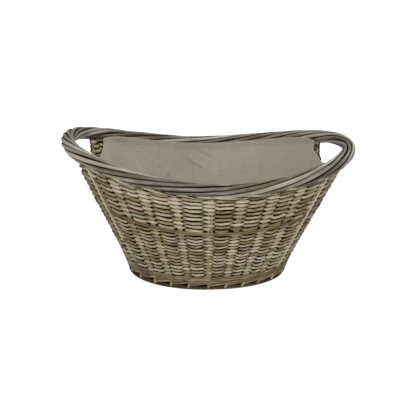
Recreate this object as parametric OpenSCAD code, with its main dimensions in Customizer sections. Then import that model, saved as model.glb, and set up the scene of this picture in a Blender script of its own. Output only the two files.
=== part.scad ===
// Oval willow log basket with a rope border, two handle holes and a cloth liner.
// X runs along the basket, Y across it, Z up; the origin is on the floor under its middle.

/* [Overall] */
// Length over the border, from handle to handle
rim_length = 600; // [480:1:720]
// Width over the border, across the middle
rim_width = 474; // [400:1:560]
// Height of the left handle's top
left_end_height = 293; // [250:1:360]
// Height of the right handle's top
right_end_height = 283; // [250:1:360]
// Height of the border's top at the middle of the long sides
middle_height = 239; // [199:1:250]
// Squareness of the oval, where 2 is a plain ellipse
oval_power = 2.15; // [2:0.05:2.6]
// How steeply the border climbs towards the handles
saddle_power = 1.8; // [1.4:0.1:2.4]

/* [Foot] */
// Length over the foot border
foot_length = 340; // [280:1:400]
// Width over the foot border
foot_width = 282; // [240:1:340]
// Height of the foot border
foot_height = 8; // [6:0.5:12]
// Width of the foot border's ring
foot_band = 16; // [14:0.5:22]

/* [Stakes] */
// Thickness of a stake
stake_d = 7; // [5:0.5:8]
// Thickness of a bye-stake
bye_stake_d = 5; // [3:0.5:6]
// Where the first stake stands, as a share of the gap between two stakes
stake_shift = 0.35; // [0:0.05:1]

/* [Weave] */
// Thickness of a woven course
course_thickness = 2.5; // [2:0.1:3]
// Slack between an upright and a course that passes it
weave_slack = 0.2; // [0.1:0.05:0.8]
// Gap left between one course and the next
course_gap = 0.4; // [0.2:0.1:1]
// Height of the upset wale, just above the foot
upset_height = 15; // [10:0.5:18]
// Height of the middle wale
wale_height = 8; // [6:0.5:10]
// Height of the middle wale's lower edge, as a share of the wall
wale_place = 0.6; // [0.5:0.01:0.66]

/* [Border] */
// Thickness of the rope border
border_d = 28; // [23:0.5:34]
// Gap left between one border rod and the next, measured round the rope
border_rod_gap = 0.69; // [0.5:0.01:1.5]
// Turns that a border rod makes on its way round the basket
border_turns = 3; // [2:1:4]
// How far the border's middle stands outside the wall
border_overhang = 8; // [5:0.5:9]

/* [Handle holes] */
// Half-width of a handle hole across the basket, under the border
hole_half_width = 92; // [70:1:110]
// Half-width of the same hole at its lower edge
hole_low_half_width = 62; // [40:1:68]

/* [Base] */
// Thickness of the woven base
base_thickness = 11.6; // [11:0.1:14]
// Thickness of a cross stick
cross_stick_d = 8; // [7:0.5:9]
// Number of cross sticks
cross_sticks = 7; // [5:1:9]
// Thickness of a long stick
long_stick_d = 4; // [3:0.5:5]
// Number of long sticks
long_sticks = 4; // [3:1:5]

/* [Liner] */
// Thickness of the liner cloth
liner_thickness = 1.6; // [1:0.1:2.5]
// How far the liner is cut back beside a handle hole
liner_setback = 18; // [5:1:40]

/* [Hidden] */
// Clearance between pieces that lie against each other
clear = 0.3;
stakes = 26;
lower_courses = 8;
upper_courses = 5;
border_rods = 8;
uprights = 2 * stakes;

rod_colour = [0.50, 0.43, 0.33];
pale_colour = [0.58, 0.51, 0.40];
border_colour = [0.45, 0.42, 0.37];
cloth_colour = [0.66, 0.63, 0.57];

// Middle line of the rope border, and of the foot
rim_a = (rim_length - border_d) / 2;
rim_b = (rim_width - border_d) / 2;
foot_a = (foot_length - foot_band) / 2;
foot_b = (foot_width - foot_band) / 2;

// The wall is straight from the foot to just under the border
wall_a = rim_a - border_overhang;
wall_b = rim_b - border_overhang;
border_reach = border_d / 2 + stake_d / 2;
wall_drop = sqrt(pow(border_reach, 2) - pow(border_overhang, 2)) + clear;
wall_start = foot_height + clear;

function oval(a, b, t) =
    [a * sign(cos(t)) * pow(abs(cos(t)), 2 / oval_power),
     b * sign(sin(t)) * pow(abs(sin(t)), 2 / oval_power)];
function unit(v) = v / norm(v);

// Outward direction of the wall in plan
function outward(t) =
    let (d = oval(wall_a, wall_b, t + 1) - oval(wall_a, wall_b, t - 1), u = unit(d))
    [u[1], -u[0]];

// Height of the border's middle line
function end_height(t) = (cos(t) < 0 ? left_end_height : right_end_height) - border_d / 2;
function border_z(t) =
    let (low = middle_height - border_d / 2)
    low + (end_height(t) - low) * pow(abs(oval(1, 1, t)[0]), saddle_power);

// A point of the wall: share is 0 at the foot and 1 at the top, aside is outward
function wall_point(t, share, aside) =
    let (low = oval(foot_a, foot_b, t), high = oval(wall_a, wall_b, t),
         p = low + (high - low) * share + outward(t) * aside,
         top = border_z(t) - wall_drop)
    [p[0], p[1], wall_start + (top - wall_start) * share];

// Equal steps along the wall, as a table from distance to angle
step_angle = 2;
function half_way(t) = oval((foot_a + wall_a) / 2, (foot_b + wall_b) / 2, t);
way_table = [for (t = -90, s = 0; t <= 630; s = s + norm(half_way(t + step_angle) - half_way(t)),
                  t = t + step_angle) [s, t]];
way_round = lookup(270, [for (row = way_table) [row[1], row[0]]]);
function upright_angle(k) = lookup((k - 2 * stake_shift) / uprights * way_round
                                   + way_round * (k < 2 * stake_shift ? 1 : 0), way_table);

// One rod's share of the whole wall, set by its height at the middle of a long side
wall_height = middle_height - border_d / 2 - wall_drop - wall_start;
function share_of(z) = (z - wall_start) / wall_height;
upset_from = share_of(foot_height + base_thickness * 0.6);
upset_to = upset_from + upset_height / wall_height;
wale_to = wale_place + wale_height / wall_height;
lower_step = (wale_place - upset_to) / lower_courses;
upper_step = (1 - wale_to) / upper_courses;

// A course crosses the wall between two uprights, most steeply where they stand closest at the foot
function upright_gap(k) =
    norm(wall_point(upright_angle(k + 1), upset_to, 0) - wall_point(upright_angle(k), upset_to, 0));
function upright_turn(k) = acos(outward(upright_angle(k)) * outward(upright_angle(k + 1)));
closest_gap = min([for (k = [0 : uprights - 2]) upright_gap(k)]);
sharpest_turn = max([for (k = [0 : uprights - 2]) upright_turn(k)]);
function offset_after(offset) =
    let (crossing = atan(2 * offset / closest_gap) + sharpest_turn / 2)
    (stake_d / 2 + weave_slack) / cos(crossing) + course_thickness / 2;
weave_offset = offset_after(offset_after(offset_after(stake_d)));
weave_face = weave_offset + course_thickness / 2;

// Handle holes: the two top courses stop at the sides of each hole
function beside(t, half_width) =
    let (p = wall_point(t, 1, 0)) abs(p[1]) < half_width && abs(p[0]) > foot_a;
function hole_half(row) =
    row == upper_courses ? hole_half_width : row == upper_courses - 1 ? hole_low_half_width : 0;
function in_hole(k, row) = beside(upright_angle(k % uprights), hole_half(row));

// A closed solid through a list of rings; a loop joins its last ring to its first
module sweep(rings, loop) {
    m = len(rings[0]);
    n = len(rings);
    spans = loop ? n : n - 1;
    sides = [for (i = [0 : spans - 1], j = [0 : m - 1])
        let (a = i * m + j, b = i * m + (j + 1) % m,
             c = ((i + 1) % n) * m + (j + 1) % m, d = ((i + 1) % n) * m + j)
        each [[a, b, c], [a, c, d]]];
    first = [for (j = [1 : m - 2]) [0, j + 1, j]];
    last = [for (j = [1 : m - 2]) [(n - 1) * m, (n - 1) * m + j, (n - 1) * m + j + 1]];
    polyhedron(points = [for (ring = rings) each ring],
               faces = loop ? sides : concat(sides, first, last));
}

// A straight round rod from p to q
module rod(p, q, d) {
    v = q - p;
    translate(p) rotate([0, acos(v[2] / norm(v)), atan2(v[1], v[0])])
        cylinder(h = norm(v), d = d, $fn = 24);
}

// Four corners of a flat band across the wall
function band(t, low, high, aside, thick) =
    [wall_point(t, low, aside - thick / 2), wall_point(t, low, aside + thick / 2),
     wall_point(t, high, aside + thick / 2), wall_point(t, high, aside - thick / 2)];

// A woven course: outside one upright, inside the next
module course_run(row, low, high, first, last, loop) {
    gap = course_gap / 2 / wall_height;
    sweep([for (k = [first : last])
        band(upright_angle(k % uprights), low + gap, high - gap,
             ((k + row) % 2 == 0 ? 1 : -1) * weave_offset, course_thickness)], loop);
}

module course(row, low, high) {
    course_run(row, low, high, 0, uprights - 1, true);
}

// A course that stops at the handle holes, in one run for each long side
module open_course(row, low, high) {
    starts = [for (k = [0 : uprights - 1]) if (in_hole(k, row) && !in_hole(k + 1, row)) k + 1];
    stops = [for (k = [0 : 2 * uprights - 1]) if (!in_hole(k, row) && in_hole(k + 1, row)) k];
    for (start = starts)
        course_run(row, low, high, start, min([for (stop = stops) if (stop > start) stop]), false);
}

// A wale: rods outside and inside every upright
module wale(low, high) {
    gap = course_gap / 2 / wall_height;
    for (side = [-1, 1])
        sweep([for (k = [0 : uprights - 1])
            band(upright_angle(k), low + gap, high - gap, side * weave_offset, course_thickness)], true);
}

module oval_plate(a, b, z, thick) {
    translate([0, 0, z]) linear_extrude(thick)
        polygon([for (t = [0 : 6 : 354]) oval(a, b, t)]);
}

module foot_border() {
    color(rod_colour) difference() {
        oval_plate(foot_a + foot_band / 2, foot_b + foot_band / 2, 0, foot_height);
        oval_plate(foot_a - foot_band / 2, foot_b - foot_band / 2, -1, foot_height + 2);
    }
}

// The base lies on the foot border, inside the upset wale
base_edge = weave_face - min(wall_a - foot_a, wall_b - foot_b) * upset_from + clear;
base_a = foot_a - base_edge;
base_b = foot_b - base_edge;
base_z = foot_height;
stick_z = base_z + base_thickness / 2;
stick_gap = base_a * 1.5 / (cross_sticks - 1);
long_gap = long_stick_d + clear;
slit_width = long_sticks * long_gap + clear;
slit_height = long_stick_d + clear;
function cross_x(i) = (i - (cross_sticks - 1) / 2) * stick_gap;
function oval_reach(a, b, x) = b * pow(1 - pow(abs(x) / a, oval_power), 1 / oval_power);

module cross_stick(i, d, short) {
    reach = oval_reach(base_a, base_b, cross_x(i)) - short;
    translate([cross_x(i), 0, stick_z]) rotate([90, 0, 0])
        cylinder(h = 2 * reach, d = d, center = true, $fn = 24);
}

module base_cross_sticks() {
    color(pale_colour) for (i = [0 : cross_sticks - 1]) difference() {
        cross_stick(i, cross_stick_d, 4);
        translate([cross_x(i), 0, stick_z]) cube([cross_stick_d + 2, slit_width, slit_height], center = true);
    }
}

module base_long_sticks() {
    color(pale_colour) for (i = [0 : long_sticks - 1])
        translate([0, (i - (long_sticks - 1) / 2) * long_gap, stick_z]) rotate([0, 90, 0])
            cylinder(h = 2 * base_a - 8, d = long_stick_d, center = true, $fn = 24);
}

module base_weave() {
    color(rod_colour) difference() {
        oval_plate(base_a, base_b, base_z, base_thickness);
        for (i = [0 : cross_sticks - 1]) cross_stick(i, cross_stick_d + clear, 4 - clear);
        translate([0, 0, stick_z])
            cube([2 * base_a - 8 + clear, slit_width, slit_height], center = true);
    }
}

// Uprights in a handle hole stop at its lower edge
function upright_top(k) =
    in_hole(k, upper_courses - 1) ? 1 - 2 * upper_step : in_hole(k, upper_courses) ? 1 - upper_step : 1;

// A leaning upright starts where the edge of its end clears the foot
function lean_share(t, d) =
    let (v = wall_point(t, 1, 0) - wall_point(t, 0, 0)) d / 2 * norm([v[0], v[1]]) / norm(v) / v[2];

module upright(k, d) {
    t = upright_angle(k);
    rod(wall_point(t, lean_share(t, d), 0), wall_point(t, upright_top(k), 0), d);
}

module stake(i) { color(pale_colour) upright(2 * (i - 1), stake_d); }
module bye_stakes() { color(rod_colour) for (i = [1 : stakes]) upright(2 * i - 1, bye_stake_d); }
module upset_wale() { color(rod_colour) wale(upset_from, upset_to); }
module middle_wale() { color(pale_colour) wale(wale_place, wale_to); }

module lower_course(i) {
    color(i % 2 == 0 ? rod_colour : pale_colour)
        course(i, upset_to + (i - 1) * lower_step, upset_to + i * lower_step);
}

module upper_course(i) {
    low = wale_to + (i - 1) * upper_step;
    color(i % 2 == 0 ? pale_colour : rod_colour)
        if (hole_half(i) > 0)
            open_course(i, low, low + upper_step);
        else
            course(i, low, low + upper_step);
}

// The rope border: a core hoop with rods laid round it as a left-handed rope
border_steps = 72;
rod_sides = 6;
border_rod_d = (border_d * PI / border_rods - border_rod_gap) / (1 + PI / border_rods);
rope_r = (border_d - border_rod_d) / 2;
function border_frame(t) =
    let (p = oval(rim_a, rim_b, t), before = oval(rim_a, rim_b, t - 1), after = oval(rim_a, rim_b, t + 1),
         run = unit([after[0] - before[0], after[1] - before[1], border_z(t + 1) - border_z(t - 1)]),
         side = unit([run[1], -run[0], 0]))
    [[p[0], p[1], border_z(t)], side, cross(side, run)];
function round_ring(centre, frame, r, turn) =
    [for (j = [0 : rod_sides - 1])
        let (w = turn + j * 360 / rod_sides) centre + r * (cos(w) * frame[1] - sin(w) * frame[2])];

module border_core() {
    color(border_colour) sweep([for (i = [0 : border_steps - 1])
        let (f = border_frame(i * 360 / border_steps))
        round_ring(f[0], f, rope_r - border_rod_d / 2 - clear, 0)], true);
}

module border_rod(n) {
    color(border_colour) sweep([for (i = [0 : border_steps - 1])
        let (f = border_frame(i * 360 / border_steps),
             w = n * 360 / border_rods - border_turns * i * 360 / border_steps,
             centre = f[0] + rope_r * (cos(w) * f[1] - sin(w) * f[2]))
        round_ring(centre, f, border_rod_d / 2, w)], true);
}

// The liner: a floor, and a wall that stands inside the weaving and ends at the border's inner side
liner_outside = weave_face + 2 * clear;
liner_inside = liner_outside + liner_thickness;
liner_z = base_z + base_thickness + clear;
liner_start = share_of(liner_z + liner_thickness + clear);
liner_steps = 60;
function liner_top(t, aside) =
    let (c = oval(rim_a, rim_b, t), n = outward(t), p = c - n * (border_d / 2 + aside))
    [p[0], p[1], border_z(t)];
function cut_edge(t, depth, share) = [wall_point(t, share - 0.03, -depth), wall_point(t, share, -depth)];
function liner_edge(t, depth) =
    beside(t, hole_low_half_width) ? cut_edge(t, depth, 1 - 2.5 * upper_step)
    : beside(t, hole_half_width) ? cut_edge(t, depth, 1 - 2 * upper_step)
    : beside(t, hole_half_width + liner_setback) ? cut_edge(t, depth, 1 - upper_step)
    : [wall_point(t, 1, -depth - 0.5), liner_top(t, depth - liner_outside + 2 * clear)];
function liner_side(t, depth) =
    concat([wall_point(t, liner_start, -depth), wall_point(t, 0.5, -depth)], liner_edge(t, depth));
function backwards(list) = [for (i = [len(list) - 1 : -1 : 0]) list[i]];

module liner_wall() {
    color(cloth_colour) sweep([for (i = [0 : liner_steps - 1])
        let (t = i * 360 / liner_steps)
        concat(backwards(liner_side(t, liner_inside)), liner_side(t, liner_outside))], true);
}

module liner_floor() {
    shrink = liner_outside + 1;
    color(cloth_colour) oval_plate(foot_a - shrink, foot_b - shrink, liner_z, liner_thickness);
}

foot_border();
base_cross_sticks();
base_long_sticks();
base_weave();
for (i = [1 : stakes])
    stake(i);
bye_stakes();
upset_wale();
for (i = [1 : lower_courses])
    lower_course(i);
middle_wale();
for (i = [1 : upper_courses])
    upper_course(i);
border_core();
for (i = [1 : border_rods])
    border_rod(i);
liner_floor();
liner_wall();
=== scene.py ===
# Oval willow log basket: woven rods, rope border, woven foot and cloth liner, built round the CAD frame.
import math

import bpy
import numpy as np
from mathutils import Matrix, Vector


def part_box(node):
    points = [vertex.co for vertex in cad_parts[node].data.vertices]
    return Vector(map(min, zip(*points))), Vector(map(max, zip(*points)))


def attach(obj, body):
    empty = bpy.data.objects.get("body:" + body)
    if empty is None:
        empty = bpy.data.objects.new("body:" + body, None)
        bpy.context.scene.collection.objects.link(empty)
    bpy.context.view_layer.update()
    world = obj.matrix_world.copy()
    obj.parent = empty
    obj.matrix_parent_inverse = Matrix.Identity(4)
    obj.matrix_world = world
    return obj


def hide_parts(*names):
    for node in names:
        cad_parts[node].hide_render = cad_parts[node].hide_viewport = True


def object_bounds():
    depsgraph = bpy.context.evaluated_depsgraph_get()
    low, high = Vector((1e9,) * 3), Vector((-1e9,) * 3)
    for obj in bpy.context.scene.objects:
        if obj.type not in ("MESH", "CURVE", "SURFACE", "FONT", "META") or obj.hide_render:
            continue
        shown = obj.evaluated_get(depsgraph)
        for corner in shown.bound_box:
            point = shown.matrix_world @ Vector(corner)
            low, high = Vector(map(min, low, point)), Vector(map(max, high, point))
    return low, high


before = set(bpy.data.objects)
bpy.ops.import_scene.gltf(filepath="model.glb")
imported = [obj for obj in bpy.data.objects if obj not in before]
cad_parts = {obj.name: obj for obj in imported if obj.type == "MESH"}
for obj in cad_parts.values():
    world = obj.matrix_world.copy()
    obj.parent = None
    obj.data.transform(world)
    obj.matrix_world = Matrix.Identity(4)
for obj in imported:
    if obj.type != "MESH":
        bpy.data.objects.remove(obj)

MM = 0.001
cad_low, cad_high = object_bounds()

# ---------------------------------------------------------------- the basket's shape, from the frame
OVAL_POWER = 2.15  # squareness of the ovals, 2 is a plain ellipse
SADDLE_POWER = 1.8  # how steeply the border climbs to the handles
BORDER_THICK = 28 * MM
BORDER_OVERHANG = 8 * MM  # how far the border's middle stands outside the wall
BORDER_CORE_RADIUS = 6.3 * MM
RIGHT_END_DROP = 10 * MM  # the right handle is this much lower than the left
FOOT_BAND = 16 * MM  # width of the foot border in plan
STAKES = 26
UPRIGHTS = 2 * STAKES
STAKE_SHIFT = 0.35  # where the first stake stands, in gaps between stakes
STAKE_THICK = 7 * MM
CLEAR = 0.3 * MM  # left between the wall and the borders it meets

foot_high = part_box("foot_border")[1]
core_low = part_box("border_core")[0]
base_low, base_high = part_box("base_weave")

rim_a = cad_high.x - BORDER_THICK / 2
rim_b = cad_high.y - BORDER_THICK / 2
wall_a = rim_a - BORDER_OVERHANG
wall_b = rim_b - BORDER_OVERHANG
foot_a = foot_high.x - FOOT_BAND / 2
foot_b = foot_high.y - FOOT_BAND / 2
foot_top = foot_high.z
middle_z = core_low.z + BORDER_CORE_RADIUS
left_z = cad_high.z - BORDER_THICK / 2
right_z = left_z - RIGHT_END_DROP
# how far below the border's middle line the wall ends, with the stakes just clear of the border
wall_drop = math.sqrt((BORDER_THICK / 2 + STAKE_THICK / 2) ** 2 - BORDER_OVERHANG ** 2) + CLEAR
wall_start = foot_top + CLEAR

TURN = 2 * math.pi
LOOK = math.radians(1)  # how far to each side a direction is measured


def oval(a, b, t):
    """Points of an oval with half-axes a and b, at angles t."""
    c, s = np.cos(t), np.sin(t)
    e = 2 / OVAL_POWER
    return np.stack([a * np.sign(c) * np.abs(c) ** e, b * np.sign(s) * np.abs(s) ** e], -1)


def unit(v):
    return v / np.linalg.norm(v, axis=-1, keepdims=True)


def outward(t):
    """The wall's outward direction in plan."""
    d = unit(oval(wall_a, wall_b, t + LOOK) - oval(wall_a, wall_b, t - LOOK))
    return np.stack([d[..., 1], -d[..., 0]], -1)


def flat_side(t):
    """The wall's outward direction as a level direction in space."""
    n = outward(np.asarray(t))
    return np.concatenate([n, np.zeros(n.shape[:-1] + (1,))], -1)


def level_ring(a, b, t, z):
    """Points of an oval with half-axes a and b, lifted to the heights z."""
    return np.concatenate([oval(a, b, t), z[..., None]], -1)


def border_z(t):
    """Height of the border's middle line."""
    end = np.where(np.cos(t) < 0, left_z, right_z)
    return middle_z + (end - middle_z) * np.abs(oval(1, 1, t)[..., 0]) ** SADDLE_POWER


def wall_point(t, share, aside):
    """A point of the wall: share is 0 at the foot and 1 under the border, aside is outward."""
    t, share, aside = np.broadcast_arrays(t, share, aside)
    low, high = oval(foot_a, foot_b, t), oval(wall_a, wall_b, t)
    plan = low + (high - low) * share[..., None] + outward(t) * aside[..., None]
    z = wall_start + wall_rise(t) * share
    return np.concatenate([plan, z[..., None]], -1)


def wall_rise(t):
    """Height of the woven wall, from the foot to the underside of the border."""
    return border_z(t) - wall_drop - wall_start


def border_middle(t):
    """The border's middle line."""
    return level_ring(rim_a, rim_b, t, border_z(t))


def border_frame(t):
    """The border's middle line, with its outward and upward directions."""
    run = unit(border_middle(t + LOOK) - border_middle(t - LOOK))
    side = unit(np.stack([run[..., 1], -run[..., 0], np.zeros(run.shape[:-1])], -1))
    return border_middle(t), side, np.cross(side, run)


def around_border(frame_at, angle, reach):
    """A direction at an angle round the border's middle line, and the point that far out along it."""
    centre, side, up = frame_at
    out = np.cos(angle)[:, None] * side + np.sin(angle)[:, None] * up
    return out, centre + reach[:, None] * out


def upright_angles():
    """Angles of the uprights, in equal steps along the middle of the wall."""
    t = np.radians(np.arange(-90, 272, 2))
    way = oval((foot_a + wall_a) / 2, (foot_b + wall_b) / 2, t)
    s = np.concatenate([[0], np.cumsum(np.linalg.norm(np.diff(way, axis=0), axis=1))])
    share = ((np.arange(UPRIGHTS) - 2 * STAKE_SHIFT) / UPRIGHTS) % 1
    return np.interp(share, s / s[-1], t)


STRAY = 0.05  # how far an upright strays from its even place, in gaps
ANGLES = upright_angles() + np.random.default_rng(3).normal(0, STRAY, UPRIGHTS) * TURN / UPRIGHTS
STAKE_GAP = TURN / STAKES

# The weave's levels, as shares of the wall, measured at the middle of a long side
wall_height = middle_z - wall_drop - wall_start
UPSET_HEIGHT = 15 * MM
WALE_PLACE, WALE_HEIGHT = 0.6, 8 * MM
LOWER_COURSES, UPPER_COURSES = 8, 5
LOWER_RODS, UPPER_RODS = 27, 18  # rounds of single rods in each zone
base_thick = base_high.z - base_low.z
UPSET_OVER_BASE = 0.6  # the upset starts this share of the base's thickness above the foot
upset_from = (foot_top + UPSET_OVER_BASE * base_thick - wall_start) / wall_height
upset_to = upset_from + UPSET_HEIGHT / wall_height
wale_to = WALE_PLACE + WALE_HEIGHT / wall_height
upper_step = (1 - wale_to) / UPPER_COURSES
HOLE_HALF_WIDTH, HOLE_LOW_HALF_WIDTH = 92 * MM, 62 * MM  # at the border and at its lower edge
HOLE_BOTTOM = 1 - 2 * upper_step
HOLE_ROUNDING = 0.6  # how quickly a handle hole widens above its lower edge


# ---------------------------------------------------------------- even, repeatable variation
def wander(x, seed):
    """A smooth wandering value between about -1 and 1 along x, from five sines, each faster and weaker."""
    rng = np.random.default_rng(seed)
    total = np.zeros_like(np.asarray(x, float))
    for i in range(5):
        pace = 1.7 ** i * rng.uniform(0.8, 1.25)
        total = total + np.sin(TURN * pace * x + rng.uniform(0, TURN)) / (1.25 ** i)
    return total / 2.2


def wander_round(x, seed, waves=7):
    """A smooth wandering value that meets itself after one way round the basket."""
    rng = np.random.default_rng(seed)
    total = np.zeros_like(x)
    for i in range(waves):
        wave = np.sin(TURN * (i + 1) * x * 2 + rng.uniform(0, TURN))
        total = total + wave * rng.uniform(0.4, 1) / (1 + 0.3 * i)
    return total / 2


# ---------------------------------------------------------------- meshes of rods
# Faces nearer the middle of the wall than this take painted shade.
WALL_HALF = 5.4 * MM  # from the middle of the wall to where its rods stand fully proud
MAP_SHIFT = 0.37  # moves each rod to its own part of the willow's grain


def face_map(*corners):
    """The map of four-cornered faces, corner by corner, from the map's place at each corner."""
    return np.stack([np.stack(c, 1) for c in corners], 1).reshape(-1, 2)


class Bundle:
    """Collects round rods, then makes them one mesh with its lengthwise map and its tones."""

    def __init__(self):
        self.points, self.faces, self.maps, self.tones, self.prouds = [], [], [], [], []
        self.count = 0

    def rod(self, path, radius, side, closed=False, tone=0.0, proud=0.5, sides=8, flat=1.0, groove_shade=0.0,
            aside=None):
        """One rod: flat squashes it across the side direction, proud sets its painted shade (low is darker),
        groove gives painted shade to the parts that face its neighbours, and aside gives its place across
        the wall, whose inner parts get the deepest painted shade."""
        path = np.asarray(path, float)
        n = len(path)
        radius, flat, tone, proud = (np.broadcast_to(np.asarray(v, float), (n,))
                                     for v in (radius, flat, tone, proud))
        run = unit(np.roll(path, -1, 0) - np.roll(path, 1, 0) if closed else np.gradient(path, axis=0))
        side = np.broadcast_to(np.asarray(side, float), (n, 3))
        side = unit(side - run * (side * run).sum(-1, keepdims=True))
        up = np.cross(run, side)
        w = np.arange(sides) * TURN / sides
        ring = (path[:, None] + radius[:, None, None] * (
            np.cos(w)[None, :, None] * side[:, None] * flat[:, None, None]
            + np.sin(w)[None, :, None] * up[:, None]))
        self.points.append(ring.reshape(-1, 3))
        self.skin(path, n, sides, closed)
        self.tones.append(np.repeat(tone, sides))
        if aside is None:
            # Painted shade on the faces that turn towards the neighbouring rods.
            facing = np.tile(groove_shade * np.clip(0.8 - np.cos(w), 0, 1.2), n)
            self.prouds.append(np.repeat(proud, sides) - facing)
        else:
            # Painted shade by place across the wall: faces that lie further in are darker.
            place_across = np.broadcast_to(np.asarray(aside, float), (n,))
            across = place_across[:, None] + (radius * flat)[:, None] * np.cos(w)
            self.prouds.append(np.clip(np.abs(across) / WALL_HALF, 0, 1).ravel())
        self.count += n * sides

    def skin(self, path, n, sides, closed):
        """The faces of one rod and the lengthwise map of each of their corners."""
        first = self.count
        spans = n if closed else n - 1
        i, j = (v.ravel() for v in np.meshgrid(np.arange(spans), np.arange(sides), indexing="ij"))
        nxt, k = (i + 1) % n, (j + 1) % sides
        corners = np.stack([i * sides + j, nxt * sides + j, nxt * sides + k, i * sides + k], 1)
        self.faces += (first + corners).tolist()
        step = np.linalg.norm(np.diff(path, axis=0, append=path[:1]), axis=1)
        along = np.concatenate([[0], np.cumsum(step)]) + first * MAP_SHIFT
        u0, u1, v0, v1 = along[i], along[i + 1], j / sides, (j + 1) / sides
        self.maps.append(face_map((u0, v0), (u1, v0), (u1, v1), (u0, v1)))
        if not closed:
            self.faces.append((first + np.arange(sides)).tolist())
            self.faces.append((first + (n - 1) * sides + np.arange(sides)[::-1]).tolist())
            self.maps.append(np.stack([np.full(2 * sides, along[0]), np.zeros(2 * sides)], 1))

    def make(self, name, material, slot, *nodes):
        """One mesh of all the rods, placed as a piece."""
        mesh = bpy.data.meshes.new(name)
        mesh.from_pydata(np.concatenate(self.points).tolist(), [], self.faces)
        mesh.uv_layers.new(name="along").data.foreach_set("uv", np.concatenate(self.maps).ravel())
        for label, values in (("tone", self.tones), ("proud", self.prouds)):
            layer = mesh.attributes.new(label, "FLOAT", "POINT")
            layer.data.foreach_set("value", np.concatenate(values).astype(np.float32))
        mesh.shade_smooth()
        return place(name, mesh, material, slot, *nodes)


def thicken(piece, thickness):
    """Gives a sheet its thickness, half to each side."""
    solid = piece.modifiers.new("thickness", "SOLIDIFY")
    solid.thickness = thickness
    solid.offset = 0


def place(name, mesh, material, slot, *nodes):
    """Makes the mesh a piece of the basket that stands for the CAD nodes."""
    mesh.materials.append(material)
    piece = bpy.data.objects.new(name, mesh)
    bpy.context.scene.collection.objects.link(piece)
    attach(piece, "root")
    if nodes:
        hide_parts(*nodes)
    return piece


# ---------------------------------------------------------------- shader node groups
class Nodes:
    """Short ways to add and join nodes in one tree."""

    def __init__(self, tree):
        self.tree = tree

    def add(self, kind, values=None, **settings):
        node = self.tree.nodes.new(kind)
        for key, value in settings.items():
            setattr(node, key, value)
        for key, value in (values or {}).items():
            if isinstance(value, bpy.types.NodeSocket):
                self.tree.links.new(value, node.inputs[key])
            else:
                node.inputs[key].default_value = value
        return node

    def join(self, node, sources):
        """Joins each source to the node's input of that name."""
        for key, source in sources.items():
            self.tree.links.new(source, node.inputs[key])

    def maths(self, operation, a, b=0.0):
        return self.add("ShaderNodeMath", {0: a, 1: b}, operation=operation).outputs[0]

    def mix(self, share, a, b, blend="MIX"):
        return self.add("ShaderNodeMix", {0: share, 6: a, 7: b}, data_type="RGBA",
                        blend_type=blend).outputs[2]

    def spread(self, value, low, high, to_low=0.0, to_high=1.0):
        """Maps low..high onto to_low..to_high, held at both ends."""
        ends = {0: value, 1: low, 2: high, 3: to_low, 4: to_high}
        return self.add("ShaderNodeMapRange", ends).outputs[0]

    def noise(self, vector, scale, detail=3.0, rough=0.55):
        return self.add("ShaderNodeTexNoise", {"Vector": vector, "Scale": scale, "Detail": detail,
                                               "Roughness": rough}).outputs["Fac"]

    def grain(self, vector, stretch, detail=3.0, rough=0.55, scale=1.0):
        """Noise that is drawn out along one direction of the map."""
        drawn = self.add("ShaderNodeVectorMath", {0: vector, 1: stretch}, operation="MULTIPLY")
        return self.noise(drawn.outputs[0], scale, detail, rough)


def new_group(name, inputs, outputs):
    """A shader node group with named sockets; returns it, its nodes, and its two end nodes."""
    tree = bpy.data.node_groups.new(name, "ShaderNodeTree")
    for label, kind, value in inputs:
        socket = tree.interface.new_socket(name=label, in_out="INPUT", socket_type=kind)
        if value is not None:
            socket.default_value = value
    for label, kind in outputs:
        tree.interface.new_socket(name=label, in_out="OUTPUT", socket_type=kind)
    n = Nodes(tree)
    return tree, n, n.add("NodeGroupInput"), n.add("NodeGroupOutput")


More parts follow.
